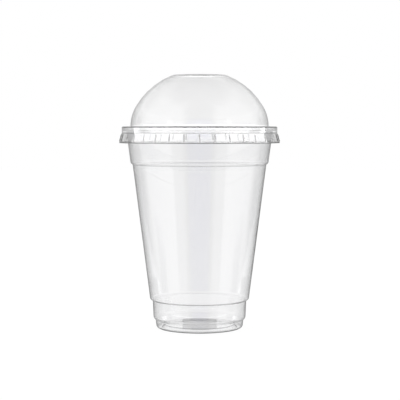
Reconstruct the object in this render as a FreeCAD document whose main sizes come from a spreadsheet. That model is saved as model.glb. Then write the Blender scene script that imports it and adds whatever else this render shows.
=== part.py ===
import FreeCAD, Part
import enum
import math
import os

import Sketcher

# Clear plastic cold-drink cup with a lift-off dome lid, both formed from thin sheet.
# The origin is the middle of the standing face, with +Z up and -Y to the front.

# Driving sizes in mm, and angles in degrees.
SIZES = {
    # Cup: overall
    "rim_diameter": 95.0,
    "cup_height": 124.4,
    "foot_diameter": 53.4,
    "cup_wall": 0.35,
    # Cup: rolled rim
    "curl_diameter": 2.45,
    "curl_tip_angle": 80.0,
    # Cup: collar above the upper step
    "collar_height": 21.95,
    "collar_draft": 7.7,
    "shoulder_width": 1.27,
    "shoulder_height": 1.15,
    # Cup: foot, stacking ring and lower step
    "foot_height": 5.0,
    "foot_flare": 0.6,
    "foot_step_width": 1.3,
    "foot_step_height": 1.5,
    "ring_height": 10.6,
    "ring_flare": 0.5,
    "ledge_width": 1.6,
    "ledge_height": 0.95,
    # Cup: base panel, raised inside the standing ring
    "base_recess": 2.0,
    "stand_width": 3.5,
    "panel_slope_width": 1.7,
    # Cup: bend radii
    "foot_round": 1.7,
    "base_round": 0.8,
    "crease_round": 0.45,
    "step_round": 1.3,
    # Lid: sheet and the gap that it keeps from the cup
    "lid_wall": 0.25,
    "lid_clearance": 0.25,
    # Lid: channel that sits over the rim
    "plug_depth": 8.6,
    "groove_round": 0.6,
    "band_height": 4.0,
    "band_round": 0.5,
    "flare_width": 1.55,
    "flare_height": 6.0,
    "flare_crease_round": 0.4,
    # Lid: dome
    "dome_inset": 3.63,
    "dome_height": 31.5,
    "dome_lean": 25.25,
    "flank_round": 23.9,
    "flank_angle": 30.5,
    "top_round": 0.6,
    # Lid: ribs on the flared skirt
    "rib_count": 34,
    "rib_width": 0.6,
    "rib_height": 0.3,
    "rib_setback": 0.35,
}

# Places worked out from the driving sizes: r is a distance from the axis, z a height and
# slope a run over a rise. The cup's places are on its outer face, the lid's on its upper face.
STATIONS = {
    # Cup, from the floor up
    "foot_r": "Sizes.foot_diameter / 2",
    "stand_r": "foot_r - Sizes.stand_width",
    "panel_r": "stand_r - Sizes.panel_slope_width",
    "foot_top_r": "foot_r + Sizes.foot_flare",
    "ring_foot_r": "foot_top_r + Sizes.foot_step_width",
    "ring_foot_z": "Sizes.foot_height + Sizes.foot_step_height",
    "ring_top_r": "ring_foot_r + Sizes.ring_flare",
    "ring_top_z": "ring_foot_z + Sizes.ring_height",
    "body_foot_r": "ring_top_r + Sizes.ledge_width",
    "body_foot_z": "ring_top_z + Sizes.ledge_height",
    # Cup, from the rim down
    "curl_outside": "Sizes.curl_diameter / 2",
    "curl_inside": "curl_outside - Sizes.cup_wall",
    "curl_r": "Sizes.rim_diameter / 2 - curl_outside",
    "curl_z": "Sizes.cup_height - curl_outside",
    "collar_slope": "tan(Sizes.collar_draft * 1 deg)",
    "collar_cos": "cos(Sizes.collar_draft * 1 deg)",
    "collar_foot_z": "Sizes.cup_height - Sizes.collar_height",
    "collar_foot_r": "curl_r - curl_inside / collar_cos - (curl_z - collar_foot_z) * collar_slope",
    "shoulder_r": "collar_foot_r - Sizes.shoulder_width",
    "shoulder_z": "collar_foot_z - Sizes.shoulder_height",
    # Lid channel: the arch follows the curl, and the plug follows the collar's inner face
    "arch_inside": "curl_outside + Sizes.lid_clearance",
    "arch_outside": "arch_inside + Sizes.lid_wall",
    "lid_top_z": "curl_z + arch_outside",
    "groove_outside": "Sizes.groove_round + Sizes.lid_wall",
    "groove_z": "Sizes.cup_height - Sizes.plug_depth + groove_outside",
    "groove_drift": "(curl_z - groove_z) * collar_slope",
    "groove_r": "curl_r - (arch_inside + groove_outside) / collar_cos - groove_drift",
    "band_r": "curl_r + arch_outside",
    "crease_z": "lid_top_z - Sizes.band_height",
    "hem_r": "band_r + Sizes.flare_width",
    "hem_z": "crease_z - Sizes.flare_height",
    # Lid dome: a flank arc, then a cap arc that leaves it tangent and ends at the flat top
    "dome_r": "curl_r - Sizes.dome_inset",
    "top_r": "dome_r - Sizes.dome_lean",
    "top_z": "lid_top_z + Sizes.dome_height",
    "flank_outside": "Sizes.flank_round + Sizes.lid_wall",
    "flank_r": "dome_r - flank_outside",
    "flank_cos": "cos(Sizes.flank_angle * 1 deg)",
    "flank_sin": "sin(Sizes.flank_angle * 1 deg)",
    "cap_run": "flank_r + flank_outside * flank_cos - top_r",
    "cap_rise": "top_z - lid_top_z - flank_outside * flank_sin",
    "cap_depth": "cap_run * flank_cos - cap_rise * flank_sin",
    "cap_outside": "(cap_run^2 + cap_rise^2) / (2 * cap_depth)",
    "cap_inside": "cap_outside - Sizes.lid_wall",
    "cap_r": "flank_r - (cap_outside - flank_outside) * flank_cos",
    "cap_z": "lid_top_z - (cap_outside - flank_outside) * flank_sin",
    "edge_z": "top_z - Sizes.top_round - Sizes.lid_wall",
    "edge_reach": "cap_outside - Sizes.top_round - Sizes.lid_wall",
    "edge_r": "cap_r + sqrt(edge_reach^2 - (edge_z - cap_z)^2)",
    # Lid ribs, rooted in the flare's wall
    "flare_slope": "Sizes.flare_width / Sizes.flare_height",
    "rib_top_z": "crease_z - Sizes.rib_setback",
    "rib_foot_z": "hem_z + Sizes.rib_setback",
    "rib_top_root_r": "band_r + Sizes.rib_setback * flare_slope - Sizes.lid_wall / 2",
    "rib_foot_root_r": "hem_r - Sizes.rib_setback * flare_slope - Sizes.lid_wall / 2",
    "rib_top_face_r": "rib_top_root_r + Sizes.lid_wall / 2 + Sizes.rib_height",
    "rib_foot_face_r": "rib_foot_root_r + Sizes.lid_wall / 2 + Sizes.rib_height",
}

QUARTER_TURN = math.pi / 2


class Side(enum.IntEnum):
    """Which way a bend turns along a section, and on which side of the path the wall lies."""

    LEFT = 1
    RIGHT = -1


class Spot(enum.IntEnum):
    """The numbers that a sketch gives the points of a line or an arc."""

    START = 1
    END = 2
    CENTRE = 3


class Axis(enum.IntEnum):
    """The numbers that a sketch gives its own axes and origin."""

    LEVEL = -1
    ORIGIN = -1
    TURN = -2


class Values:
    """Looks up a named size or place, as a number or as a path for an expression."""

    def __init__(self, doc):
        self.sheet = write_sizes(doc)
        self.stations = write_stations(doc)

    def number(self, name):
        if name in STATIONS:
            return float(getattr(self.stations, name))
        return float(self.sheet.get(name))

    def path(self, name):
        if name in STATIONS:
            return "Stations." + name
        return "Sizes." + name

    def point(self, r_name, z_name):
        """A point of a section. No name stands for the axis or the floor."""
        r = 0.0 if r_name is None else self.number(r_name)
        z = 0.0 if z_name is None else self.number(z_name)
        return FreeCAD.Vector(r, z, 0)


def write_sizes(doc):
    sheet = doc.addObject("Spreadsheet::Sheet", "Sizes")
    for row, (name, value) in enumerate(SIZES.items(), start=1):
        sheet.set("A%d" % row, name)
        sheet.set("B%d" % row, str(value))
        sheet.setAlias("B%d" % row, name)
    doc.recompute()
    return sheet


def write_stations(doc):
    stations = doc.addObject("App::VarSet", "Stations")
    for name in STATIONS:
        stations.addProperty("App::PropertyFloat", name)
    for name, formula in STATIONS.items():
        stations.setExpression(name, formula)
    doc.recompute()
    return stations


class Bend:
    """One bend of a formed sheet. radius names the radius on its tight side."""

    def __init__(self, radius, r, z, turn, at_corner=True, touches_next=False):
        self.radius = radius
        self.r = r
        self.z = z
        self.turn = turn
        # At a corner, r and z are where the runs on both sides would meet, else the arc's centre
        self.at_corner = at_corner
        # An arc that meets the next arc with no run between takes its radius from touching it
        self.touches_next = touches_next


class Piece:
    """A line or arc of a sketch, with the ends where the path enters and leaves it."""

    def __init__(self, number, enters=Spot.START, leaves=Spot.END):
        self.number = number
        self.enters = enters
        self.leaves = leaves


def unit(angle):
    return FreeCAD.Vector(math.cos(angle), math.sin(angle), 0)


def left_of(angle):
    return FreeCAD.Vector(-math.sin(angle), math.cos(angle), 0)


def heading_between(first, first_swing, second, second_swing):
    """Heading of the line that touches two circles, each with its centre that far to the left."""
    across = second - first
    lean = (second_swing - first_swing) / across.Length
    return math.atan2(across.y, across.x) - math.asin(max(-1.0, min(1.0, lean)))


class SheetSection:
    """Section of a formed sheet: a face of tangent lines and arcs, and a back one wall away."""

    def __init__(self, values, sketch, wall, wall_side, bends, start_z):
        self.values = values
        self.sketch = sketch
        self.wall = wall
        self.wall_side = wall_side
        self.bends = bends
        self.start_z = start_z

    def add(self, *parts):
        return self.sketch.addConstraint(Sketcher.Constraint(*parts))

    def add_bound(self, formula, *parts):
        number = self.add(*parts)
        self.sketch.setExpression("Constraints[%d]" % number, formula)

    def place(self, number, spot, r_name, z_name):
        """Holds a point of the sketch at a named distance from the axis and a named height."""
        at = self.values.point(r_name, z_name)
        origin = (Axis.ORIGIN, Spot.START)
        self.add_bound(self.values.path(r_name), "DistanceX", *origin, number, spot, at.x)
        if z_name is None:
            self.add("PointOnObject", number, spot, Axis.LEVEL)
        else:
            self.add_bound(self.values.path(z_name), "DistanceY", *origin, number, spot, at.y)

    def is_tight(self, bend, on_face):
        return (bend.turn == self.wall_side) != on_face

    def swing(self, bend, on_face):
        """How far to the left of the path the arc's centre lies, on the face or on the back."""
        radius = self.values.number(bend.radius)
        if not self.is_tight(bend, on_face):
            radius += self.values.number(self.wall)
        return bend.turn * radius

    def find_headings(self, end, last_heading):
        """Headings of the runs from the start, between the bends, and to the end."""
        places = [(self.values.point(None, self.start_z), 0.0)]
        for bend in self.bends:
            swing = 0.0 if bend.at_corner else self.swing(bend, True)
            places.append((self.values.point(bend.r, bend.z), swing))
        if end is not None:
            places.append((end, 0.0))
        headings = [heading_between(*before, *after) for before, after in zip(places, places[1:])]
        if end is None:
            headings.append(last_heading)
        return headings

    def centre(self, bend, heading_in, heading_out):
        spot = self.values.point(bend.r, bend.z)
        if not bend.at_corner:
            return spot
        swing = self.swing(bend, True)
        setback = swing * math.tan((heading_out - heading_in) / 2)
        return spot - unit(heading_in) * setback + left_of(heading_in) * swing

    def add_line(self, first, second):
        return Piece(self.sketch.addGeometry(Part.LineSegment(first, second), False))

    def add_arc(self, centre, swing, heading_in, heading_out):
        circle = Part.Circle(centre, FreeCAD.Vector(0, 0, 1), abs(swing))
        if swing > 0:
            arc = Part.ArcOfCircle(circle, heading_in - QUARTER_TURN, heading_out - QUARTER_TURN)
            return Piece(self.sketch.addGeometry(arc, False))
        arc = Part.ArcOfCircle(circle, heading_out + QUARTER_TURN, heading_in + QUARTER_TURN)
        return Piece(self.sketch.addGeometry(arc, False), Spot.END, Spot.START)

    def draw_layer(self, headings, end, on_face):
        """Adds one layer's pieces, each tangent to the one before, and returns the arcs too."""
        shift = 0.0 if on_face else self.wall_side * self.values.number(self.wall)
        at = self.values.point(None, self.start_z) + left_of(headings[0]) * shift
        pieces = []
        arcs = []
        touching = False
        for bend, heading_in, heading_out in zip(self.bends, headings, headings[1:]):
            swing = self.swing(bend, on_face)
            centre = self.centre(bend, heading_in, heading_out)
            if not touching:
                pieces.append(self.add_line(at, centre - left_of(heading_in) * swing))
            arcs.append(self.add_arc(centre, swing, heading_in, heading_out))
            pieces.append(arcs[-1])
            at = centre - left_of(heading_out) * swing
            touching = bend.touches_next
        if end is not None:
            pieces.append(self.add_line(at, end + left_of(headings[-1]) * shift))
        for before, after in zip(pieces, pieces[1:]):
            self.add("Tangent", before.number, before.leaves, after.number, after.enters)
        return pieces, arcs

    def size_bend(self, bend, arc, on_face):
        if bend.touches_next:
            return
        formula = self.values.path(bend.radius)
        if not self.is_tight(bend, on_face):
            formula += " + " + self.values.path(self.wall)
        self.add_bound(formula, "Radius", arc.number, abs(self.swing(bend, on_face)))

    def place_bend(self, bend, arc, pieces):
        """Holds a bend of the face by its centre, or by the corner where its two runs would meet."""
        if not bend.at_corner:
            self.place(arc.number, Spot.CENTRE, bend.r, bend.z)
            return
        mark = self.sketch.addGeometry(Part.Point(self.values.point(bend.r, bend.z)), True)
        index = pieces.index(arc)
        self.add("PointOnObject", mark, Spot.START, pieces[index - 1].number)
        self.add("PointOnObject", mark, Spot.START, pieces[index + 1].number)
        self.place(mark, Spot.START, bend.r, bend.z)

    def close(self, first, first_spot, second, second_spot):
        """Joins an end of one piece to an end of another with a line."""
        here = self.sketch.getPoint(first.number, first_spot)
        there = self.sketch.getPoint(second.number, second_spot)
        line = self.add_line(here, there)
        self.add("Coincident", line.number, Spot.START, first.number, first_spot)
        self.add("Coincident", line.number, Spot.END, second.number, second_spot)
        return line

    def draw(self, end=None, last_heading=None):
        """Draws both layers and the short edge that joins them on the axis."""
        headings = self.find_headings(end, last_heading)
        self.face, self.face_arcs = self.draw_layer(headings, end, True)
        self.back, self.back_arcs = self.draw_layer(headings, end, False)
        for line in (self.face[0].number, self.back[0].number):
            self.add("Horizontal", line)
            self.add("PointOnObject", line, Spot.START, Axis.TURN)
        self.close(self.face[0], Spot.START, self.back[0], Spot.START)
        for bend, face_arc, back_arc in zip(self.bends, self.face_arcs, self.back_arcs):
            self.place_bend(bend, face_arc, self.face)
            self.size_bend(bend, face_arc, True)
            self.size_bend(bend, back_arc, False)
            self.add("Coincident", face_arc.number, Spot.CENTRE, back_arc.number, Spot.CENTRE)


def plane_of(body, role):
    return next(feature for feature in body.Origin.OriginFeatures if feature.Role == role)


def new_sketch(body, name, role):
    sketch = body.newObject("Sketcher::SketchObject", name)
    sketch.AttachmentSupport = [(plane_of(body, role), "")]
    sketch.MapMode = "FlatFace"
    return sketch


def revolve(body, sketch, name):
    solid = body.newObject("PartDesign::Revolution", name)
    solid.Profile = sketch
    solid.ReferenceAxis = (sketch, ["V_Axis"])
    solid.Angle = 360
    return solid


def make_cup(doc, values):
    """Cup: raised base panel, foot, stacking ring, tapered body, collar and rolled rim."""
    body = doc.addObject("PartDesign::Body", "Cup")
    body.Label = "cup"
    sketch = new_sketch(body, "CupSketch", "XZ_Plane")
    bends = [
        Bend("base_round", "panel_r", "base_recess", Side.RIGHT),
        Bend("base_round", "stand_r", None, Side.LEFT),
        Bend("foot_round", "foot_r", None, Side.LEFT),
        Bend("crease_round", "foot_top_r", "foot_height", Side.RIGHT),
        Bend("step_round", "ring_foot_r", "ring_foot_z", Side.LEFT),
        Bend("crease_round", "ring_top_r", "ring_top_z", Side.RIGHT),
        Bend("step_round", "body_foot_r", "body_foot_z", Side.LEFT),
        Bend("crease_round", "shoulder_r", "shoulder_z", Side.RIGHT),
        Bend("step_round", "collar_foot_r", "collar_foot_z", Side.LEFT),
        Bend("curl_inside", "curl_r", "curl_z", Side.RIGHT, at_corner=False),
    ]
    section = SheetSection(values, sketch, "cup_wall", Side.LEFT, bends, "base_recess")
    tip_angle = math.radians(values.number("curl_tip_angle"))
    section.draw(last_heading=tip_angle - 3 * QUARTER_TURN)
    add_curl_tip(section, tip_angle)
    revolve(body, sketch, "CupSheet")
    return body


def add_curl_tip(section, tip_angle):
    """Ends the rolled rim with a short edge that points at the middle of the roll."""
    face = section.face[-1]
    back = section.back[-1]
    tip = section.close(back, back.leaves, face, face.leaves)
    section.add("PointOnObject", face.number, Spot.CENTRE, tip.number)
    section.add_bound("Sizes.curl_tip_angle * 1 deg", "Angle", tip.number, tip_angle)


def make_dome_lid(doc, values):
    """Lid: flat-topped dome, plug inside the collar, arch over the rim and flared, ribbed skirt."""
    body = doc.addObject("PartDesign::Body", "DomeLid")
    body.Label = "dome_lid"
    sketch = new_sketch(body, "LidSketch", "XZ_Plane")
    bends = [
        Bend("top_round", "edge_r", "edge_z", Side.RIGHT, at_corner=False, touches_next=True),
        Bend("cap_inside", "cap_r", "cap_z", Side.RIGHT, at_corner=False, touches_next=True),
        Bend("flank_round", "flank_r", "lid_top_z", Side.RIGHT, at_corner=False),
        Bend("groove_round", "groove_r", "groove_z", Side.LEFT, at_corner=False),
        Bend("arch_inside", "curl_r", "curl_z", Side.RIGHT, at_corner=False),
        Bend("band_round", "band_r", "lid_top_z", Side.RIGHT),
        Bend("flare_crease_round", "band_r", "crease_z", Side.LEFT),
    ]
    section = SheetSection(values, sketch, "lid_wall", Side.RIGHT, bends, "top_z")
    section.draw(end=values.point("hem_r", "hem_z"))
    add_hem(section)
    revolve(body, sketch, "LidSheet")
    doc.recompute()
    body.Tip = add_ribs(body, values)
    return body


def add_hem(section):
    """Ends the skirt with a short edge square to its wall."""
    face = section.face[-1]
    back = section.back[-1]
    section.place(face.number, Spot.END, "hem_r", "hem_z")
    section.add("Parallel", face.number, back.number)
    hem = section.close(back, Spot.END, face, Spot.END)
    section.add("Perpendicular", hem.number, face.number)


def add_ribs(body, values):
    """One upright rib at the front of the flare, repeated around the axis."""
    sketch = new_sketch(body, "RibSketch", "YZ_Plane")
    corners = [
        ("rib_top_root_r", "rib_top_z"),
        ("rib_top_face_r", "rib_top_z"),
        ("rib_foot_face_r", "rib_foot_z"),
        ("rib_foot_root_r", "rib_foot_z"),
    ]
    spots = [FreeCAD.Vector(-values.number(r), values.number(z), 0) for r, z in corners]
    for here, there in zip(spots, spots[1:] + spots[:1]):
        sketch.addGeometry(Part.LineSegment(here, there), False)
    for side, (r_name, z_name) in enumerate(corners):
        before = (side - 1) % len(corners)
        sketch.addConstraint(Sketcher.Constraint("Coincident", before, Spot.END, side, Spot.START))
        r = values.number(r_name)
        out = Sketcher.Constraint("DistanceX", side, Spot.START, Axis.ORIGIN, Spot.START, r)
        sketch.setExpression("Constraints[%d]" % sketch.addConstraint(out), values.path(r_name))
        z = values.number(z_name)
        up = Sketcher.Constraint("DistanceY", Axis.ORIGIN, Spot.START, side, Spot.START, z)
        sketch.setExpression("Constraints[%d]" % sketch.addConstraint(up), values.path(z_name))
    rib = body.newObject("PartDesign::Pad", "Rib")
    rib.Profile = sketch
    rib.SideType = "Symmetric"
    rib.setExpression("Length", "Sizes.rib_width")
    ribs = body.newObject("PartDesign::PolarPattern", "Ribs")
    ribs.Originals = [rib]
    ribs.Axis = (plane_of(body, "Z_Axis"), [""])
    ribs.Angle = 360
    ribs.setExpression("Occurrences", "Sizes.rib_count")
    return ribs


def check(doc, bodies):
    """Stops on any failed object, loose sketch or bad solid, before a file is written."""
    for item in doc.Objects:
        if "Invalid" in item.State or "Error" in item.State:
            raise RuntimeError("%s is %s" % (item.Name, item.State))
        if item.isDerivedFrom("Sketcher::SketchObject") and not item.FullyConstrained:
            raise RuntimeError("%s is not fully constrained" % item.Name)
    for body in bodies:
        shape = body.Shape
        if shape.isNull() or not shape.isValid() or len(shape.Solids) != 1:
            raise RuntimeError("%s has no single valid solid" % body.Label)
        box = shape.optimalBoundingBox(False, False)
        sizes = (body.Label, box.XLength, box.YLength, box.ZMin, box.ZMax, shape.Volume)
        print("%s: x %.2f, y %.2f, z %.2f to %.2f mm, volume %.0f mm3" % sizes)


def main():
    doc = FreeCAD.newDocument("ColdCup")
    values = Values(doc)
    bodies = [make_cup(doc, values), make_dome_lid(doc, values)]
    doc.recompute()
    check(doc, bodies)
    os.makedirs("parts", exist_ok=True)
    for body in bodies:
        body.Shape.exportStep("parts/%s.step" % body.Label)


main()
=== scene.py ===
"""A clear cold-drink cup with a lift-off dome lid, in a plain white studio."""

import logging
import math
from dataclasses import dataclass, field
from enum import Enum

import bpy
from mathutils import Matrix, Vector


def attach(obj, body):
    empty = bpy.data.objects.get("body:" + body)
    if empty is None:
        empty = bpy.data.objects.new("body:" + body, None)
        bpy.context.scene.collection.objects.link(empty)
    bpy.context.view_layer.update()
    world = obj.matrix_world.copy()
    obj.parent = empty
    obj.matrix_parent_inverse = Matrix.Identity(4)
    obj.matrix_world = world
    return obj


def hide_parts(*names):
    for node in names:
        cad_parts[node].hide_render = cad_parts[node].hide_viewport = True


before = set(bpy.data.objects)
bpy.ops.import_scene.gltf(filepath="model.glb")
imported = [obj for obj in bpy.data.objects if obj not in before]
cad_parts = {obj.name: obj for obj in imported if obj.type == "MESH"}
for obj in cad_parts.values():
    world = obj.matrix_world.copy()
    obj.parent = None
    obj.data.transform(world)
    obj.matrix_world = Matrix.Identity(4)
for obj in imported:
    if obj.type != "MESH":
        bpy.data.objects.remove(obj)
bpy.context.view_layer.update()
LOG = logging.getLogger("cold_cup")
# The mesh attribute of painted shade: how much a bend, rib or cut edge is greyed, from 0 to 1.
PAINTED_SHADE = "painted_shade"
TRIM = "trim"
Colour = tuple[float, float, float, float]
WHITE = (1.0, 1.0, 1.0, 1.0)
# A section point nearer to the axis than this makes one vertex, in metres.
AXIS_REACH = 1e-7
# A path's Glossy Depth is a whole number, and is over this once the path has met gloss.
FIRST_GLOSS = 0.5
# A FloatCurve holds values from 0 to 1, so it stores each brightness divided by this.
CURVE_RANGE = 2.0


class Side(Enum):
    """Which way a bend turns along a section, or on which side of the path the wall lies."""

    LEFT = 1
    RIGHT = -1


def unit(angle: float) -> Vector:
    """Returns the vector of length one that points along an angle."""
    return Vector((math.cos(angle), math.sin(angle)))


def left_of(heading: float) -> Vector:
    """Returns the vector of length one that points to the left of a heading."""
    return Vector((-math.sin(heading), math.cos(heading)))


@dataclass(frozen=True)
class Bend:
    """One bend of a formed sheet.

    Attributes:
        spot: The arc's centre, or the sharp corner that the arc rounds, as (r, z).
        radius: The radius on the bend's tight side.
        turn: The way the path turns here.
        at_corner: True if spot is the corner, False if it is the centre.
        painted_shade: How much painted shade darkens the bend, from 0 to 1.
        painted_shade_reach: How far the painted shade spreads on to the two straight runs.
    """

    spot: Vector
    radius: float
    turn: Side
    at_corner: bool = True
    painted_shade: float = 0.0
    painted_shade_reach: float = 0.0


@dataclass(frozen=True)
class SectionPoint:
    """A point of a section's outline, with the direction that its surface faces.

    Attributes:
        place: The point as (r, z).
        facing: The outward normal as (r, z).
        relief: How fully the sheet's relief pattern shows here, from 0 to 1.
        painted_shade: How much darker painted shade makes the sheet here than its plain runs, from
            0 to 1.
        trim: How rough the sheet is here from being trimmed, from 0 to 1.
    """

    place: Vector
    facing: Vector
    relief: float = 0.0
    painted_shade: float = 0.0
    trim: float = 0.0


@dataclass
class FormedSheet:
    """A thin sheet formed about the vertical axis, drawn as tangent lines and arcs.

    Attributes:
        wall: The sheet's thickness.
        wall_side: The side of the path on which the wall lies.
        start: Where the path leaves the axis, level.
        bends: The bends in order from the axis.
        end: Where a straight last run ends, or None where the path ends in its last bend.
        end_heading: The heading at the end where there is no last run.
        relief_marks: Where along the last run the relief begins and ends, and how strongly.
        trim_reach: How far from the free edge the sheet shows that it was trimmed.
        arc_step: The largest turn between two points of an arc.
        least_steps: The fewest steps that an arc is drawn in.
        edge_steps: The steps in which the cut edge is rounded.
    """

    wall: float
    wall_side: Side
    start: Vector
    bends: list[Bend]
    end: Vector | None = None
    end_heading: float = 0.0
    relief_marks: tuple[tuple[float, float], ...] = ()
    trim_reach: float = 0.0008
    arc_step: float = math.radians(7.5)
    least_steps: int = 3
    edge_steps: int = 6

    def swing(self, bend: Bend, on_face: bool) -> float:
        """Finds how far to the left of the path an arc's centre lies.

        Args:
            bend: The bend.
            on_face: True on the face, False on the back.

        Returns:
            The arc's radius, negative where its centre is on the right.
        """
        is_tight = (bend.turn is self.wall_side) != on_face
        radius = bend.radius if is_tight else bend.radius + self.wall
        return bend.turn.value * radius

    def headings(self) -> list[float]:
        """Returns the heading of the run before each bend, and the one after the last."""
        places = [(self.start, 0.0)]
        for bend in self.bends:
            places.append((bend.spot, 0.0 if bend.at_corner else self.swing(bend, True)))
        if self.end is not None:
            places.append((self.end, 0.0))
        found = []
        for (here, swing), (there, next_swing) in zip(places, places[1:]):
            across = there - here
            lean = max(-1.0, min(1.0, (next_swing - swing) / across.length))
            found.append(math.atan2(across.y, across.x) - math.asin(lean))
        if self.end is None:
            found.append(self.end_heading)
        return found

    def centre(self, bend: Bend, heading_in: float, heading_out: float) -> Vector:
        """Returns the centre of a bend's arc, between the headings of its two runs."""
        if not bend.at_corner:
            return bend.spot
        swing = self.swing(bend, True)
        setback = swing * math.tan((heading_out - heading_in) / 2)
        return bend.spot - unit(heading_in) * setback + left_of(heading_in) * swing

    def layer(self, on_face: bool) -> list[SectionPoint]:
        """Draws the face or the back.

        Args:
            on_face: True for the face, False for the back.

        Returns:
            The points from the axis to the free edge.
        """
        outward = self.wall_side.value * (-1.0 if on_face else 1.0)
        shift = 0.0 if on_face else self.wall * self.wall_side.value
        headings = self.headings()
        begin = self.start + left_of(headings[0]) * shift
        points = [SectionPoint(begin, left_of(headings[0]) * outward)]
        for bend, heading_in, heading_out in zip(self.bends, headings, headings[1:]):
            swing = self.swing(bend, on_face)
            centre = self.centre(bend, heading_in, heading_out)
            turn = heading_out - heading_in
            steps = max(self.least_steps, math.ceil(abs(turn) / self.arc_step))
            arc = []
            for step in range(steps + 1):
                heading = heading_in + turn * step / steps
                place = centre - left_of(heading) * swing
                facing = left_of(heading) * outward
                # Painted shade: full along the bend where it spreads on to the runs, else fading
                # to nothing at the arc's ends.
                fade = 1.0 if bend.painted_shade_reach else math.sin(math.pi * step / steps)
                arc.append(SectionPoint(place, facing, painted_shade=bend.painted_shade * fade))
            if bend.painted_shade_reach:
                before = arc[0].place - unit(heading_in) * bend.painted_shade_reach
                after = arc[-1].place + unit(heading_out) * bend.painted_shade_reach
                arc.insert(0, SectionPoint(before, arc[0].facing))
                arc.append(SectionPoint(after, arc[-1].facing))
            points += arc
        if self.end is not None:
            side = left_of(headings[-1])
            points += self.last_run(points[-1], self.end + side * shift, on_face)
        return points

    def last_run(self, before: SectionPoint, end: Vector, on_face: bool) -> list[SectionPoint]:
        """Returns the points of the straight run to the free edge, with the relief on its face."""
        marks = self.relief_marks if on_face else ()
        points = []
        for share, relief in marks:
            place = before.place.lerp(end, share)
            points.append(SectionPoint(place, before.facing, relief))
        whole = (end - before.place).length
        place = end.lerp(before.place, self.trim_reach / whole)
        points.append(SectionPoint(place, before.facing))
        # The cut edge carries full painted shade, and full roughness from trimming.
        points.append(SectionPoint(end, before.facing, painted_shade=1.0, trim=1.0))
        return points

    def free_edge(self, face_end: SectionPoint, back_end: SectionPoint) -> list[SectionPoint]:
        """Returns the points that round the sheet's cut edge, without its two ends."""
        middle = (face_end.place + back_end.place) / 2
        ahead = Vector((face_end.facing.y, -face_end.facing.x))
        if self.wall_side is Side.LEFT:
            ahead = -ahead
        points = []
        for step in range(1, self.edge_steps):
            angle = math.pi * step / self.edge_steps
            facing = face_end.facing * math.cos(angle) + ahead * math.sin(angle)
            place = middle + facing * self.wall / 2
            # The rounded cut edge carries full painted shade, and full roughness from trimming.
            points.append(SectionPoint(place, facing, painted_shade=1.0, trim=1.0))
        return points

    def outline(self) -> list[SectionPoint]:
        """Returns the whole section, from the axis back to the axis, with the wall on its left."""
        face = self.layer(True)
        back = self.layer(False)
        points = face + self.free_edge(face[-1], back[-1]) + back[::-1]
        return points if self.wall_side is Side.LEFT else points[::-1]


@dataclass(frozen=True)
class RibPattern:
    """Upright ribs, evenly spaced round the axis, with one at the front.

    Attributes:
        count: How many ribs there are.
        width: A rib's width at its foot.
        height: How far a rib stands out.
        radius: The distance from the axis at which the width is measured.
        painted_shade: How much painted shade darkens a rib, from 0 to 1.
        side_steps: The mesh's columns from a rib's middle to its foot.
        gap_steps: The steps between two ribs.
    """

    count: int
    width: float
    height: float
    radius: float
    painted_shade: float = 0.0
    side_steps: int = 3
    gap_steps: int = 5

    def columns(self) -> list[float]:
        """Returns the angles of the mesh's columns: close together on a rib, and wide between."""
        pitch = math.tau / self.count
        half = self.width / 2 / self.radius
        sides = range(-self.side_steps, self.side_steps + 1)
        turns = [half * step / self.side_steps for step in sides]
        gap = pitch - 2 * half
        turns += [half + gap * step / self.gap_steps for step in range(1, self.gap_steps)]
        front = -math.pi / 2
        return [front + pitch * rib + turn for rib in range(self.count) for turn in turns]

    def lift(self, angle: float) -> tuple[float, float]:
        """Finds the ribs' height and slope at an angle round the axis.

        Args:
            angle: The angle in radians.

        Returns:
            The height in metres, and its slope along the circle.
        """
        pitch = math.tau / self.count
        turn = (angle + math.pi / 2 + pitch / 2) % pitch - pitch / 2
        run = turn * self.radius
        if abs(run) >= self.width / 2:
            return 0.0, 0.0
        phase = math.tau * run / self.width
        height = self.height * (1 + math.cos(phase)) / 2
        slope = -self.height * math.pi / self.width * math.sin(phase)
        return height, slope


def add_object(name: str, data: bpy.types.ID) -> bpy.types.Object:
    """Returns a new object in the scene, with that mesh, lamp or camera."""
    thing = bpy.data.objects.new(name, data)
    bpy.context.scene.collection.objects.link(thing)
    return thing


def even_columns(count: int) -> list[float]:
    """Returns that many evenly spaced angles round the axis."""
    return [math.tau * column / count for column in range(count)]


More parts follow.
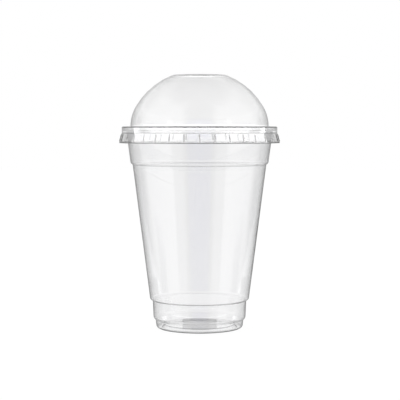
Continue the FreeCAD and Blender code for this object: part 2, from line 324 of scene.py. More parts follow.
@dataclass
class TurnedMesh:
    """A closed mesh made by turning a section's outline about the vertical axis.

    Attributes:
        name: The piece's name.
        outline: The section, from the axis back to the axis.
        columns: The angles of the columns.
        ribs: The relief on the outline's marked points, if any.
        verts: The vertices so far.
        normals: The normal of each.
        painted_shades: How much painted shade darkens each.
        trims: How rough each is from trimming.
    """

    name: str
    outline: list[SectionPoint]
    columns: list[float]
    ribs: RibPattern | None = None
    verts: list[Vector] = field(default_factory=list)
    normals: list[Vector] = field(default_factory=list)
    painted_shades: list[float] = field(default_factory=list)
    trims: list[float] = field(default_factory=list)

    def add_point(self, point: SectionPoint, angle: float) -> None:
        """Adds one vertex with its normal, raised and tilted where a rib passes."""
        out = Vector((math.cos(angle), math.sin(angle), 0.0))
        along = Vector((-math.sin(angle), math.cos(angle), 0.0))
        facing = out * point.facing.x + Vector((0.0, 0.0, point.facing.y))
        place = out * point.place.x + Vector((0.0, 0.0, point.place.y))
        painted_shade = point.painted_shade
        if self.ribs is not None and point.relief > 0.0:
            height, slope = self.ribs.lift(angle)
            place += facing * height * point.relief
            facing = (facing - along * slope * point.relief).normalized()
            # A rib gets painted shade, fullest along its ridge.
            fullness = min(1.0, 2 * height / self.ribs.height)
            painted_shade = max(painted_shade, self.ribs.painted_shade * fullness * point.relief)
        self.verts.append(place)
        self.normals.append(facing)
        self.painted_shades.append(painted_shade)
        self.trims.append(point.trim)

    def add_ring(self, point: SectionPoint) -> list[int]:
        """Adds the vertices of one section point: a whole ring, or one on the axis."""
        first = len(self.verts)
        if point.place.x < AXIS_REACH:
            self.add_point(point, 0.0)
            return [first] * len(self.columns)
        for angle in self.columns:
            self.add_point(point, angle)
        return list(range(first, first + len(self.columns)))

    def faces(self, rings: list[list[int]]) -> list[tuple[int, ...]]:
        """Joins each ring to the next with quads, or with triangles at the axis."""
        found = []
        for near, far in zip(rings, rings[1:]):
            for here in range(len(self.columns)):
                there = (here + 1) % len(self.columns)
                corners = (near[here], near[there], far[there], far[here])
                found.append(tuple(dict.fromkeys(corners)))
        return found

    def build(self) -> bpy.types.Object:
        """Makes the mesh object.

        Returns:
            The object, at the origin, with the section's own normals.
        """
        rings = [self.add_ring(point) for point in self.outline]
        mesh = bpy.data.meshes.new(self.name)
        mesh.from_pydata(self.verts, [], self.faces(rings))
        mesh.polygons.foreach_set("use_smooth", [True] * len(mesh.polygons))
        mesh.normals_split_custom_set_from_vertices(self.normals)
        # The painted shade and the trimmed edge's roughness go on the mesh as attributes.
        mesh.attributes.new(PAINTED_SHADE, "FLOAT", "POINT").data.foreach_set("value", self.painted_shades)
        mesh.attributes.new(TRIM, "FLOAT", "POINT").data.foreach_set("value", self.trims)
        mesh.validate()
        return add_object(self.name, mesh)


class Blend(Enum):
    """What a blend joins, with the Mix node's type, its two inputs and its result."""

    NUMBERS = ("FLOAT", 2, 3, 0)
    COLOURS = ("RGBA", 6, 7, 2)


Socket = bpy.types.NodeSocket
Input = Socket | float | tuple[float, ...]


@dataclass(frozen=True)
class Wiring:
    """Adds the nodes of a material, a lamp or the world, and joins them.

    Attributes:
        tree: The node tree.
    """

    tree: bpy.types.NodeTree

    def fill(self, socket: Socket, value: Input) -> None:
        """Links another node's output into an input, or sets the input to a plain value."""
        if isinstance(value, Socket):
            self.tree.links.new(value, socket)
        else:
            socket.default_value = value

    def add(self, kind: str, **values: Input) -> bpy.types.Node:
        """Adds a node.

        Args:
            kind: The node's type, without ShaderNode in front.
            values: What goes into its inputs, with underscores for the spaces in their names.

        Returns:
            The node.
        """
        node = self.tree.nodes.new(f"ShaderNode{kind}")
        for name, value in values.items():
            self.fill(node.inputs[name.replace("_", " ")], value)
        return node

    def calculate(self, operation: str, *values: Input) -> Socket:
        """Returns the result of one operation on numbers."""
        node = self.add("Math")
        node.operation = operation
        for socket, value in zip(node.inputs, values):
            self.fill(socket, value)
        return node.outputs["Value"]

    def blend(self, kind: Blend, share: Input, first: Input, second: Input) -> Socket:
        """Blends two numbers or two colours.

        Args:
            kind: What is blended.
            share: How much of the second there is.
            first: The first number or colour.
            second: The second one.

        Returns:
            The blend's output.
        """
        data_type, *inputs, result = kind.value
        node = self.add("Mix")
        node.data_type = data_type
        for number, value in zip((0, *inputs), (share, first, second)):
            self.fill(node.inputs[number], value)
        return node.outputs[result]

    def mix(self, share: Input, first: Input, second: Input) -> Socket:
        """Returns a mix of two shaders, with that share of the second."""
        node = self.add("MixShader")
        for socket, value in zip(node.inputs, (share, first, second)):
            self.fill(socket, value)
        return node.outputs["Shader"]

    def rise(
        self, value: Input, low: float, high: float, last: float = 1.0, first: float = 0.0
    ) -> Socket:
        """Makes a smooth change between two values.

        Args:
            value: What the change follows.
            low: Where the change begins.
            high: Where it ends.
            last: The result from high upwards.
            first: The result up to low.

        Returns:
            The changed value's output.
        """
        node = self.add(
            "MapRange", Value=value, From_Min=low, From_Max=high, To_Min=first, To_Max=last
        )
        node.interpolation_type = "SMOOTHSTEP"
        return node.outputs["Result"]

    def painted(self, attribute: str) -> Socket:
        """Returns what the mesh carries under that name."""
        node = self.add("Attribute")
        node.attribute_name = attribute
        return node.outputs["Fac"]

    def met_gloss(self) -> Socket:
        """Returns 1 for light whose path has met gloss, and 0 for other light."""
        path = self.add("LightPath")
        return self.calculate("GREATER_THAN", path.outputs["Glossy Depth"], FIRST_GLOSS)


def new_finish(name: str) -> tuple[bpy.types.Material, Wiring]:
    """Returns a new material with no nodes yet, and its wiring."""
    material = bpy.data.materials.new(name)
    material.use_nodes = True
    material.node_tree.nodes.clear()
    return material, Wiring(material.node_tree)


@dataclass(frozen=True)
class ClearPlastic:
    """Clear formed plastic: glossy, faintly wavy from the mould, with painted shade along its
    edges.

    Attributes:
        name: The material's name.
        absorption: How fast the sheet takes light, for each metre.
        tint: The surface's colour.
        depth_tint: What is left of white light inside the sheet, for each colour.
        bend_index: The refractive index.
        smoothest: The least roughness.
        roughest: The most roughness, where handling has dulled the gloss.
        dull_size: The size of the dulled patches, in patches a metre.
        wave_size: The size of the mould's waves, in waves a metre.
        wave_depth: The depth of the waves, in metres.
        painted_shade_tint: The colour of the painted shade where it is fullest.
        trim_rough: The roughness of the trimmed edge.
    """

    name: str
    absorption: float
    tint: Colour = WHITE
    depth_tint: Colour = (0.30, 0.31, 0.36, 1.0)
    bend_index: float = 1.57
    smoothest: float = 0.004
    roughest: float = 0.03
    dull_size: float = 270.0
    wave_size: float = 90.0
    wave_depth: float = 0.00004
    painted_shade_tint: Colour = (0.05, 0.05, 0.05, 1.0)
    trim_rough: float = 0.5

    def build(self) -> bpy.types.Material:
        """Returns the material."""
        material, wiring = new_finish(self.name)
        place = wiring.add("TexCoord").outputs["Object"]
        patches = wiring.add("TexNoise", Vector=place, Scale=self.dull_size)
        spread = wiring.add(
            "MapRange", Value=patches.outputs["Fac"], To_Min=self.smoothest, To_Max=self.roughest
        )
        plain = spread.outputs["Result"]
        rough = wiring.blend(Blend.NUMBERS, wiring.painted(TRIM), plain, self.trim_rough)
        # The painted shade greys the surface colour towards its tint on bends, ribs and the cut
        # edge.
        painted_shade = wiring.painted(PAINTED_SHADE)
        waves = wiring.add("TexNoise", Vector=place, Scale=self.wave_size, Detail=1.0)
        height = waves.outputs["Fac"]
        bump = wiring.add("Bump", Height=height, Strength=1.0, Distance=self.wave_depth)
        surface = wiring.add(
            "BsdfPrincipled",
            IOR=self.bend_index,
            Transmission_Weight=1.0,
            Base_Color=wiring.blend(Blend.COLOURS, painted_shade, self.tint, self.painted_shade_tint),
            Roughness=rough,
            Normal=bump.outputs["Normal"],
        )
        depth = wiring.add("VolumeAbsorption", Color=self.depth_tint, Density=self.absorption)
        wiring.add(
            "OutputMaterial", Surface=surface.outputs["BSDF"], Volume=depth.outputs["Volume"]
        )
        return material


@dataclass
class Rim:
    """The rolled rim, which the lid's channel follows.

    Attributes:
        diameter: The rim's outer diameter.
        height: The rim's top above the floor.
        curl_diameter: The roll's own outer diameter.
        draft: The collar's lean from the upright, in radians.
    """

    diameter: float = 0.095
    height: float = 0.1244
    curl_diameter: float = 0.00245
    draft: float = math.radians(7.7)

    @property
    def curl_outside(self) -> float:
        """The roll's outer radius in section."""
        return self.curl_diameter / 2

    @property
    def curl_centre(self) -> Vector:
        """The middle of the roll in section."""
        return Vector((self.diameter / 2 - self.curl_outside, self.height - self.curl_outside))

    @property
    def slope(self) -> float:
        """The collar's run over its rise."""
        return math.tan(self.draft)


@dataclass
class Cup:
    """The cup: raised base panel, foot, stacking ring, tapered body, collar and rolled rim.

    Attributes:
        rim: The rim.
        wall: The sheet's thickness.
        foot_diameter: The foot's outer diameter at the floor.
        curl_tip_angle: The angle at which the rim's roll ends, in radians.
        collar_height: From the rim's top down to the collar's foot.
        shoulder_width: The run of the upper step.
        shoulder_height: Its rise.
        foot_height: The height of the foot's wall.
        foot_flare: How far the foot widens on the way up.
        foot_step_width: The run of the step above the foot.
        foot_step_height: Its rise.
        ring_height: The height of the stacking ring.
        ring_flare: How far the ring widens on the way up.
        ledge_width: The run of the lower step, above the ring.
        ledge_height: Its rise.
        base_recess: The base panel's height above the floor.
        stand_width: How far in from the foot the standing ring ends.
        panel_slope_width: The run of the slope from there up to the panel.
        foot_round: The radius of the bend from the standing ring into the foot.
        base_round: The radius of the base panel's bends.
        crease_round: The radius of the sheet's inward creases.
        step_round: The radius of its outward steps.
        column_count: The number of the mesh's columns.
    """

    rim: Rim
    wall: float = 0.00035
    foot_diameter: float = 0.0534
    curl_tip_angle: float = math.radians(80.0)
    collar_height: float = 0.02195
    shoulder_width: float = 0.00127
    shoulder_height: float = 0.00115
    foot_height: float = 0.005
    foot_flare: float = 0.0006
    foot_step_width: float = 0.0013
    foot_step_height: float = 0.0015
    ring_height: float = 0.0106
    ring_flare: float = 0.0005
    ledge_width: float = 0.0016
    ledge_height: float = 0.00095
    base_recess: float = 0.002
    stand_width: float = 0.0035
    panel_slope_width: float = 0.0017
    foot_round: float = 0.0017
    base_round: float = 0.0008
    crease_round: float = 0.00045
    step_round: float = 0.0013
    column_count: int = 256

    def foot_bends(self) -> list[Bend]:
        """Returns the bends from the base panel up to the body's foot."""
        foot_r = self.foot_diameter / 2
        stand_r = foot_r - self.stand_width
        foot_top = Vector((foot_r + self.foot_flare, self.foot_height))
        ring_foot = foot_top + Vector((self.foot_step_width, self.foot_step_height))
        ring_top = ring_foot + Vector((self.ring_flare, self.ring_height))
        body_foot = ring_top + Vector((self.ledge_width, self.ledge_height))
        panel_edge = Vector((stand_r - self.panel_slope_width, self.base_recess))
        return [
            Bend(panel_edge, self.base_round, Side.RIGHT),
            Bend(Vector((stand_r, 0.0)), self.base_round, Side.LEFT),
            # Painted shade darkens the bend into the foot most, and the creases above it a little.
            Bend(Vector((foot_r, 0.0)), self.foot_round, Side.LEFT, painted_shade=0.35),
            Bend(foot_top, self.crease_round, Side.RIGHT, painted_shade=0.1),
            Bend(ring_foot, self.step_round, Side.LEFT),
            Bend(ring_top, self.crease_round, Side.RIGHT, painted_shade=0.05),
            Bend(body_foot, self.step_round, Side.LEFT),
        ]

    def rim_bends(self) -> list[Bend]:
        """Returns the bends from the upper step to the rolled rim."""
        curl = self.rim.curl_centre
        curl_inside = self.rim.curl_outside - self.wall
        collar_foot_z = self.rim.height - self.collar_height
        reach = curl_inside / math.cos(self.rim.draft) + (curl.y - collar_foot_z) * self.rim.slope
        collar_foot = Vector((curl.x - reach, collar_foot_z))
        shoulder = collar_foot - Vector((self.shoulder_width, self.shoulder_height))
        return [
            # Painted shade darkens the shoulder's crease.
            Bend(shoulder, self.crease_round, Side.RIGHT, painted_shade=0.3, painted_shade_reach=0.00015),
            Bend(collar_foot, self.step_round, Side.LEFT),
            Bend(curl, curl_inside, Side.RIGHT, at_corner=False),
        ]

    def build(self, finish: bpy.types.Material) -> bpy.types.Object:
        """Makes the cup and puts it in place of its solid.

        Args:
            finish: The cup's material.

        Returns:
            The cup's object.
        """
        sheet = FormedSheet(
            wall=self.wall,
            wall_side=Side.LEFT,
            start=Vector((0.0, self.base_recess)),
            bends=self.foot_bends() + self.rim_bends(),
            end_heading=self.curl_tip_angle - 1.5 * math.pi,
        )
        piece = TurnedMesh("cup_sheet", sheet.outline(), even_columns(self.column_count)).build()
        dress(piece, finish, "cup_body", "cup")
        return piece


@dataclass
class DomeLid:
    """The lid: flat-topped dome, plug inside the collar, arch over the rim and ribbed skirt.

    Attributes:
        rim: The rim that the lid's channel follows.
        wall: The sheet's thickness.
        clearance: The gap between the lid and the rim.
        plug_depth: From the rim's top down to the plug's foot.
        groove_round: The radius of the groove between the plug and the dome.
        band_height: The height of the upright band.
        band_round: The radius of the band's upper corner.
        flare_width: The run of the skirt.
        flare_height: Its height.
        flare_crease_round: The radius of the crease between the band and the skirt.
        dome_inset: From the middle of the rim's roll in to the dome's foot.
        dome_height: The height of the flat top above the channel.
        dome_lean: From the dome's foot in to the edge of its flat top.
        flank_round: The inner radius of the dome's flank.
        flank_angle: The flank's slope where it meets the cap, in radians.
        top_round: The inner radius of the flat top's edge.
        rib_count: The number of ribs.
        rib_width: A rib's width at its foot.
        rib_height: How far a rib stands out.
        rib_marks: Where down the skirt the ribs begin and end, and how strongly.
    """

    rim: Rim
    wall: float = 0.00025
    clearance: float = 0.00025
    plug_depth: float = 0.0086
    groove_round: float = 0.0006
    band_height: float = 0.0040
    band_round: float = 0.0005
    flare_width: float = 0.00155
    flare_height: float = 0.0060
    flare_crease_round: float = 0.0004
    dome_inset: float = 0.00363
    dome_height: float = 0.0315
    dome_lean: float = 0.02525
    flank_round: float = 0.0239
    flank_angle: float = math.radians(30.5)
    top_round: float = 0.0006
    rib_count: int = 34
    rib_width: float = 0.0012
    rib_height: float = 0.0003
    rib_marks: tuple[tuple[float, float], ...] = ((0.04, 0), (0.10, 1), (0.82, 1), (0.88, 0))

    @property
    def arch_inside(self) -> float:
        """The radius of the channel's arch on its underside."""
        return self.rim.curl_outside + self.clearance

    @property
    def top_of_channel(self) -> float:
        """The height of the channel's upper face."""
        return self.rim.curl_centre.y + self.arch_inside + self.wall

    def dome_bends(self) -> list[Bend]:
        """Returns the bends of the top's edge, the cap and the flank."""
        flank_outside = self.flank_round + self.wall
        dome_r = self.rim.curl_centre.x - self.dome_inset
        flank = Vector((dome_r - flank_outside, self.top_of_channel))
        top = Vector((dome_r - self.dome_lean, self.top_of_channel + self.dome_height))
        normal = unit(self.flank_angle)
        chord = flank + normal * flank_outside - top
        depth = chord.x * normal.x + chord.y * normal.y
        cap_outside = chord.length_squared / (2 * depth)
        cap = flank - normal * (cap_outside - flank_outside)
        edge_z = top.y - self.top_round - self.wall
        edge_reach = cap_outside - self.top_round - self.wall
        edge = Vector((cap.x + math.sqrt(edge_reach**2 - (edge_z - cap.y) ** 2), edge_z))
        return [
            # Painted shade darkens the flat top's edge.
            Bend(edge, self.top_round, Side.RIGHT, at_corner=False, painted_shade=0.8),
            Bend(cap, cap_outside - self.wall, Side.RIGHT, at_corner=False),
            Bend(flank, self.flank_round, Side.RIGHT, at_corner=False),
        ]

    def channel_bends(self) -> list[Bend]:
        """Returns the bends of the groove, the arch over the rim, the band and the crease."""
        curl = self.rim.curl_centre
        groove_outside = self.groove_round + self.wall
        groove_z = self.rim.height - self.plug_depth + groove_outside
        reach = (self.arch_inside + groove_outside) / math.cos(self.rim.draft)
        groove_r = curl.x - reach - (curl.y - groove_z) * self.rim.slope
        band_r = curl.x + self.arch_inside + self.wall
        crease = Vector((band_r, self.top_of_channel - self.band_height))
        return [
            Bend(Vector((groove_r, groove_z)), self.groove_round, Side.LEFT, at_corner=False),
            Bend(curl, self.arch_inside, Side.RIGHT, at_corner=False),
            # Painted shade darkens the band's upper corner and the crease into the skirt.
            Bend(
                Vector((band_r, self.top_of_channel)),
                self.band_round,
                Side.RIGHT,
                painted_shade=0.8,
                painted_shade_reach=0.00015,
            ),
            Bend(crease, self.flare_crease_round, Side.LEFT, painted_shade=0.65, painted_shade_reach=0.0004),
        ]

    def build(self, finish: bpy.types.Material) -> bpy.types.Object:
        """Makes the lid and puts it in place of its solid.

        Args:
            finish: The lid's material.

        Returns:
            The lid's object.
        """
        channel = self.channel_bends()
        hem = channel[-1].spot + Vector((self.flare_width, -self.flare_height))
        sheet = FormedSheet(
            wall=self.wall,
            wall_side=Side.RIGHT,
            start=Vector((0.0, self.top_of_channel + self.dome_height)),
            bends=self.dome_bends() + channel,
            end=hem,
            relief_marks=self.rib_marks,
        )
        # Painted shade darkens the ribs.
        ribs = RibPattern(self.rib_count, self.rib_width, self.rib_height, hem.x, painted_shade=0.95)
        piece = TurnedMesh("dome_lid_sheet", sheet.outline(), ribs.columns(), ribs).build()
        dress(piece, finish, "lid_body", "dome_lid")
        return piece


def dress(piece: bpy.types.Object, finish: bpy.types.Material, body: str, node: str) -> None:
    """Gives a piece its finish, and puts it on its body in place of its solid.

    Args:
        piece: The piece.
        finish: Its material.
        body: The body that carries it.
        node: The solid that it stands for.
    """
    piece.data.materials.append(finish)
    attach(piece, body)
    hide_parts(node)
    LOG.info("built %s: %d faces", piece.name, len(piece.data.polygons))


@dataclass(frozen=True)
class Bearing:
    """Where a ray goes when it leaves the object.

    Attributes:
        turn: How far round it goes, from 0 at the backdrop to 1 in front.
        height: The sine of its rise.
    """

    turn: Socket
    height: Socket


@dataclass(frozen=True)
class LightRow:
    """The brightness round the object at one height above or below it.

    Attributes:
        height: The sine of the angle up from the level.
        bands: The angle round from the backdrop in degrees, the brightness, and any extra blue.
    """

    height: float
    bands: tuple[tuple[float, ...], ...]

    def build(self, wiring: Wiring, turn: Socket) -> Socket:
        """Makes the row's colour ramp.

        Args:
            wiring: The world's wiring.
            turn: How far round from the backdrop a ray goes, from 0 to 1.

        Returns:
            The row's colour there.
        """
        node = wiring.add("ValToRGB", Fac=turn)
        ramp = node.color_ramp
        while len(ramp.elements) < len(self.bands):
            ramp.elements.new(1.0)
        for element, (angle, level, *extra) in zip(ramp.elements, self.bands):
            element.position = angle / 180.0
            element.color = (level, level, level + sum(extra), 1.0)
        return node.outputs["Color"]


# Pieces that several rows share: the light at the sides, the dark in front, and the black
# cards that darken the outlines.
SIDE_LIGHT = ((131, 0.82), (133, 0.48), (149, 0.42), (157, 0.10))
DARK_FRONT = ((162, 0.02, 0.12), (170, 0.0, 0.12), (180, 0.0, 0.15))
BLACK_CARD = ((83, 0.3), (97, 0.3))

# The soft light that the gloss sees, from the level up, alike above and below it.
SOFT_LIGHT_ROWS = (
    LightRow(
        0.015,
        (
            *((0, 0.6), (3, 0.55), (6, 0.4), (28, 0.6), (44, 1.1), (66, 1.8), (76, 2.6)),
            *BLACK_CARD,
            *((104, 2.8), (180, 2.8)),
        ),
    ),
    LightRow(
        0.04,
        (
            *((0, 0.65), (3, 0.6), (6, 0.4), (60, 0.5), (66, 0.8), (78, 0.9)),
            *BLACK_CARD,
            *((102, 0.9), (180, 0.9)),
        ),
    ),
    LightRow(
        0.08,
        (
            *((0, 0.7), (4, 0.65), (8, 0.38), (48, 0.40), (56, 0.28), (63, 0.32), (71, 0.75)),
            *((78, 0.82), (83, 0.45), (97, 0.45), (102, 0.86)),
            *SIDE_LIGHT,
            *DARK_FRONT,
        ),
    ),
    LightRow(
        0.12,
        (
            *((0, 0.85), (5, 0.75), (9, 0.42), (48, 0.42), (56, 0.32), (63, 0.36), (71, 0.75)),
            (84, 0.86),
            *SIDE_LIGHT,
            *DARK_FRONT,
        ),
    ),
    LightRow(
        0.30,
        (
            *((0, 0.5), (20, 0.55), (40, 0.60), (66, 0.7), (84, 0.86)),
            *SIDE_LIGHT,
            *DARK_FRONT,
        ),
    ),
    LightRow(
        0.42,
        (
            *((0, 0.60), (14, 0.75), (24, 1.0), (60, 1.1), (80, 1.3)),
            *((146, 1.35), (154, 1.1), (160, 0.7), (180, 0.6)),
        ),
    ),
    LightRow(
        0.75,
        (
            *((0, 0.63), (15, 0.8), (30, 1.0), (60, 1.15), (80, 1.3)),
            *((140, 1.3), (148, 0.9), (155, 0.65), (180, 0.62)),
        ),
    ),
    LightRow(0.97, ((0, 0.65), (180, 0.65))),
)
# The white boards behind the object and at its sides, with dark gaps between.
WHITE_BOARDS = LightRow(
    0.0,
    (
        *((0, 1.0), (15, 1.0), (22, 0.15), (70, 0.15), (78, 1.0), (102, 1.0)),
        *((110, 0.15), (180, 0.15)),
    ),
)


@dataclass(frozen=True)
class Studio:
    """A white studio: a pale floor, a white backdrop and broad soft light from both sides.

    Attributes:
        floor_size: The length of the floor's sides.
        floor_tint: The colour of the floor's paper.
        floor_white: The strength of the floor's own white.
        floor_share: How much of the floor is its own white, and so takes no shadow.
        soft_light: The strength of the soft light.
        rows: The soft light at several heights.
        fade: The share of the soft light at each height, as pairs from straight down to up.
        boards: The boards that show through the plastic.
        board_top: The heights where the boards begin to fade and where they are dark.
        board_dark: The brightness above the boards.
    """

    floor_size: float = 6.0
    floor_tint: Colour = (0.9, 0.9, 0.9, 1.0)
    floor_white: float = 1.04
    floor_share: float = 0.92
    soft_light: float = 1.0
    rows: tuple[LightRow, ...] = SOFT_LIGHT_ROWS
    fade: tuple[tuple[float, float], ...] = (
        *((-1.0, 0.2), (-0.48, 0.2), (-0.32, 0.85), (-0.12, 0.72), (-0.03, 1.0)),
        *((0.03, 1.0), (0.10, 1.42), (0.28, 1.42), (0.40, 1.0), (1.0, 1.0)),
    )
    boards: LightRow = WHITE_BOARDS
    board_top: tuple[float, float] = (0.22, 0.34)
    board_dark: float = 0.15

    def build(self) -> None:
        """Makes the floor and the light."""
        self.build_floor()
        self.build_light()
        LOG.info("built studio: %d rows of light", len(self.rows))

    def build_floor(self) -> bpy.types.Object:
        """Returns the floor, which shows in the picture but not in the plastic's gloss."""
        half = self.floor_size / 2
        corners = [(-half, -half, 0.0), (half, -half, 0.0), (half, half, 0.0), (-half, half, 0.0)]
        mesh = bpy.data.meshes.new("floor")
        mesh.from_pydata(corners, [], [(0, 1, 2, 3)])
        mesh.materials.append(self.floor_finish())
        floor = add_object("floor", mesh)
        return floor

    def floor_finish(self) -> bpy.types.Material:
        """Returns plain white paper that takes a faint shadow."""
        material, wiring = new_finish("white_floor")
        paper = wiring.add("BsdfDiffuse", Color=self.floor_tint)
        white = wiring.add("Emission", Strength=self.floor_white)
        sheet = wiring.mix(self.floor_share, paper.outputs["BSDF"], white.outputs["Emission"])
        clear = wiring.add("BsdfTransparent")
        seen = wiring.mix(wiring.met_gloss(), sheet, clear.outputs["BSDF"])
        wiring.add("OutputMaterial", Surface=seen)
        return material

    def build_light(self) -> bpy.types.World:
        """Returns the world: white behind the object, and soft bands of light in its gloss."""
        world = bpy.data.worlds.new("white_studio")
        bpy.context.scene.world = world
        world.use_nodes = True
        world.node_tree.nodes.clear()
        wiring = Wiring(world.node_tree)
        path = wiring.add("LightPath")
        no_gloss = wiring.calculate("LESS_THAN", path.outputs["Glossy Depth"], FIRST_GLOSS)
        through = wiring.calculate("MULTIPLY", path.outputs["Is Transmission Ray"], no_gloss)
        ray = self.bearing(wiring)
        soft = self.soft_bands(wiring, ray)
        round_about = wiring.mix(through, soft, self.bright_field(wiring, ray))
        white = wiring.add("Background", Color=WHITE).outputs["Background"]
        seen = wiring.mix(path.outputs["Is Camera Ray"], round_about, white)
        wiring.add("OutputWorld", Surface=seen)
        return world

    def bearing(self, wiring: Wiring) -> Bearing:
        """Returns where a ray goes, from the world's own coordinates."""
        ahead = wiring.add("TexCoord").outputs["Generated"]
        axes = wiring.add("SeparateXYZ", Vector=ahead).outputs
        turn = wiring.calculate("ARCTAN2", axes["X"], axes["Y"])
        half_turn = wiring.calculate("ABSOLUTE", turn)
        return Bearing(wiring.calculate("DIVIDE", half_turn, math.pi), axes["Z"])

    def bright_field(self, wiring: Wiring, ray: Bearing) -> Socket:
        """Builds the white boards that show through the plastic.

        Args:
            wiring: The world's wiring.
            ray: Where a ray goes.

        Returns:
            The shader's output.
        """
        strength = wiring.rise(ray.height, *self.board_top, last=self.board_dark, first=1.0)
        colour = self.boards.build(wiring, ray.turn)
        return wiring.add("Background", Color=colour, Strength=strength).outputs["Background"]

    def soft_bands(self, wiring: Wiring, ray: Bearing) -> Socket:
        """Builds the bands of soft light that the plastic's gloss shows.

        Args:
            wiring: The world's wiring.
            ray: Where a ray goes.

        Returns:
            The shader's output.
        """
        from_level = wiring.calculate("ABSOLUTE", ray.height)
        colour = self.rows[0].build(wiring, ray.turn)
        for below, row in zip(self.rows, self.rows[1:]):
            share = wiring.rise(from_level, below.height, row.height)
            colour = wiring.blend(Blend.COLOURS, share, colour, row.build(wiring, ray.turn))
        strength = self.fading(wiring, ray.height)
        return wiring.add("Background", Color=colour, Strength=strength).outputs["Background"]

    def fading(self, wiring: Wiring, height: Socket) -> Socket:
        """Returns the strength of the soft light at a height."""
        place = wiring.add("MapRange", Value=height, From_Min=-1.0)
        node = wiring.add("FloatCurve", Value=place.outputs["Result"])
        curve = node.mapping.curves[0]
        while len(curve.points) < len(self.fade):
            curve.points.new(0.5, 0.5)
        for point, (at, share) in zip(curve.points, self.fade):
            point.location = ((at + 1) / 2, share / CURVE_RANGE)
            point.handle_type = "VECTOR"
        node.mapping.update()
        full = CURVE_RANGE * self.soft_light
        return wiring.calculate("MULTIPLY", node.outputs["Value"], full)


@dataclass(frozen=True)
class StripLamp:
    """Flat lamps side by side on an arc round the cup, which show only in the plastic's gloss.

    Attributes:
        name: The strip's name.
        radius: Its distance from the cup's axis.
        height: The height of its middle.
        width: Its width from edge to edge, upright.
        reach: How far it goes round to either side, in radians.
        strength: Its brightness, where the white backdrop has 1.
        behind: True if it stands behind the cup, where its reflection comes through the walls.
        lamp_count: The number of lamps.
        watts_a_level: The power that gives a lamp of one square metre a brightness of 1.
    """

    name: str
    radius: float
    height: float
    width: float
    reach: float
    strength: float
    behind: bool = False
    lamp_count: int = 9
    watts_a_level: float = 2.2

    def build(self) -> list[bpy.types.Object]:
        """Returns the lamps."""
        middle = math.pi / 2 if self.behind else -math.pi / 2
        lamps = []
        for number in range(self.lamp_count):
            angle = middle + self.reach * ((2 * number + 1) / self.lamp_count - 1)
            lamps.append(self.lamp(angle))
        LOG.info("built %s: %d lamps", self.name, len(lamps))
        return lamps

    def lamp(self, angle: float) -> bpy.types.Object:
        """Makes one lamp, which faces the axis.

        Args:
            angle: The lamp's angle round the axis.

        Returns:
            The lamp.
        """
        data = bpy.data.lights.new(self.name, "AREA")
        data.shape = "RECTANGLE"
        data.size = 2 * self.radius * math.tan(self.reach / self.lamp_count)
        data.size_y = self.width
        data.energy = self.strength * data.size * data.size_y * self.watts_a_level
        if self.behind:
            self.hide_until_gloss(data)
        lamp = add_object(self.name, data)
        out = Vector((math.cos(angle), math.sin(angle), 0.0))
        lamp.location = out * self.radius + Vector((0.0, 0.0, self.height))
        lamp.rotation_euler = (-out).to_track_quat("-Z", "Y").to_euler()
        lamp.visible_camera = False
        lamp.visible_diffuse = False
        lamp.visible_transmission = self.behind
        return lamp

    def hide_until_gloss(self, data: bpy.types.Light) -> None:
        """Lets a lamp show only to light that has met gloss on its way."""
        data.use_nodes = True
        wiring = Wiring(data.node_tree)
        wiring.fill(data.node_tree.nodes["Emission"].inputs["Strength"], wiring.met_gloss())


STRIP_LAMPS = (
    StripLamp(
        name="band_lamp",
        radius=0.060,
        height=0.1235,
        width=0.0085,
        reach=math.radians(70.0),
        strength=7.5,
    ),
    StripLamp(
        name="dome_lamp",
        radius=0.080,
        height=0.13425,
        width=0.0135,
        reach=math.radians(40.0),
        strength=2.2,
    ),
    StripLamp(
        name="top_lamp",
        radius=0.035,
        height=0.1564,
        width=0.0032,
        reach=math.radians(32.0),
        strength=2.0,
        behind=True,
    ),
)


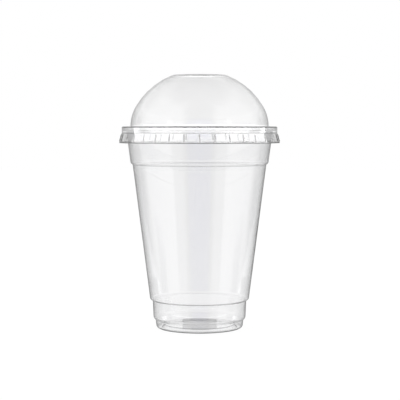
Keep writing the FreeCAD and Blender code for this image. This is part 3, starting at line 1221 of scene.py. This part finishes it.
@dataclass(frozen=True)
class BackCard:
    """A grey card behind the foot, which shows only in the base panel's gloss.

    Attributes:
        radius: Its distance from the cup's axis.
        height: Its height above the floor.
        reach: How far it goes round to either side, in radians.
        level: Its brightness, where the white backdrop has 1.
        step_count: How many flat pieces make up its curve.
    """

    radius: float = 0.035
    height: float = 0.03
    reach: float = math.radians(18.7)
    level: float = 0.6
    step_count: int = 12

    def build(self) -> bpy.types.Object:
        """Returns the card."""
        verts = []
        for step in range(self.step_count + 1):
            angle = math.pi / 2 + self.reach * (2 * step / self.step_count - 1)
            across, along = self.radius * math.cos(angle), self.radius * math.sin(angle)
            verts += [(across, along, 0.0), (across, along, self.height)]
        feet = range(0, 2 * self.step_count, 2)
        mesh = bpy.data.meshes.new("back_card")
        mesh.from_pydata(verts, [], [(foot, foot + 2, foot + 3, foot + 1) for foot in feet])
        mesh.materials.append(self.finish())
        card = add_object("back_card", mesh)
        card.visible_camera = False
        card.visible_diffuse = False
        card.visible_shadow = False
        LOG.info("built back_card: %d faces", len(mesh.polygons))
        return card

    def finish(self) -> bpy.types.Material:
        """Returns the card's even grey, which no light sees before it has met gloss."""
        material, wiring = new_finish("grey_card")
        grey = wiring.add("Emission", Strength=self.level)
        clear = wiring.add("BsdfTransparent")
        seen = wiring.mix(wiring.met_gloss(), clear.outputs["BSDF"], grey.outputs["Emission"])
        wiring.add("OutputMaterial", Surface=seen)
        return material


@dataclass
class Viewpoint:
    """The camera, level with the rim and in front of the cup.

    Attributes:
        distance: How far the camera stands from the cup's axis.
        side: How far right of the axis it stands.
        height: How high it stands.
        aim: The height at the middle of the picture.
        picture_width: How much of the cup's plane the picture takes in.
        sensor: The width of the camera's sensor, in millimetres.
    """

    distance: float = 0.775
    side: float = 0.0003
    height: float = 0.1228
    aim: float = 0.0794
    picture_width: float = 0.248
    sensor: float = 36.0

    def build(self) -> bpy.types.Object:
        """Returns the camera, set as the scene's own."""
        data = bpy.data.cameras.new("camera")
        data.sensor_width = self.sensor
        reach = math.hypot(self.distance, self.height - self.aim)
        data.lens = self.sensor * reach / self.picture_width
        camera = add_object("camera", data)
        camera.location = (self.side, -self.distance, self.height)
        look = Vector((self.side, 0.0, self.aim)) - camera.location
        camera.rotation_euler = look.to_track_quat("-Z", "Y").to_euler()
        bpy.context.scene.camera = camera
        return camera


def set_ray_depth() -> None:
    """Lets light pass all the walls in a row where the lid meets the cup."""
    cycles = bpy.context.scene.cycles
    cycles.max_bounces = 40
    cycles.transmission_bounces = 40
    cycles.glossy_bounces = 12
    cycles.transparent_max_bounces = 16


def main() -> None:
    """Builds the studio, the cup and its lid."""
    logging.basicConfig(level=logging.INFO, format="%(message)s")
    bpy.context.scene.view_settings.view_transform = "Standard"
    Viewpoint().build()
    Studio().build()
    for lamp in STRIP_LAMPS:
        lamp.build()
    BackCard().build()
    set_ray_depth()
    rim = Rim()
    Cup(rim).build(ClearPlastic("clear_cup_sheet", absorption=135.0).build())
    DomeLid(rim).build(ClearPlastic("clear_lid_sheet", absorption=85.0).build())


if __name__ == "__main__":
    main()
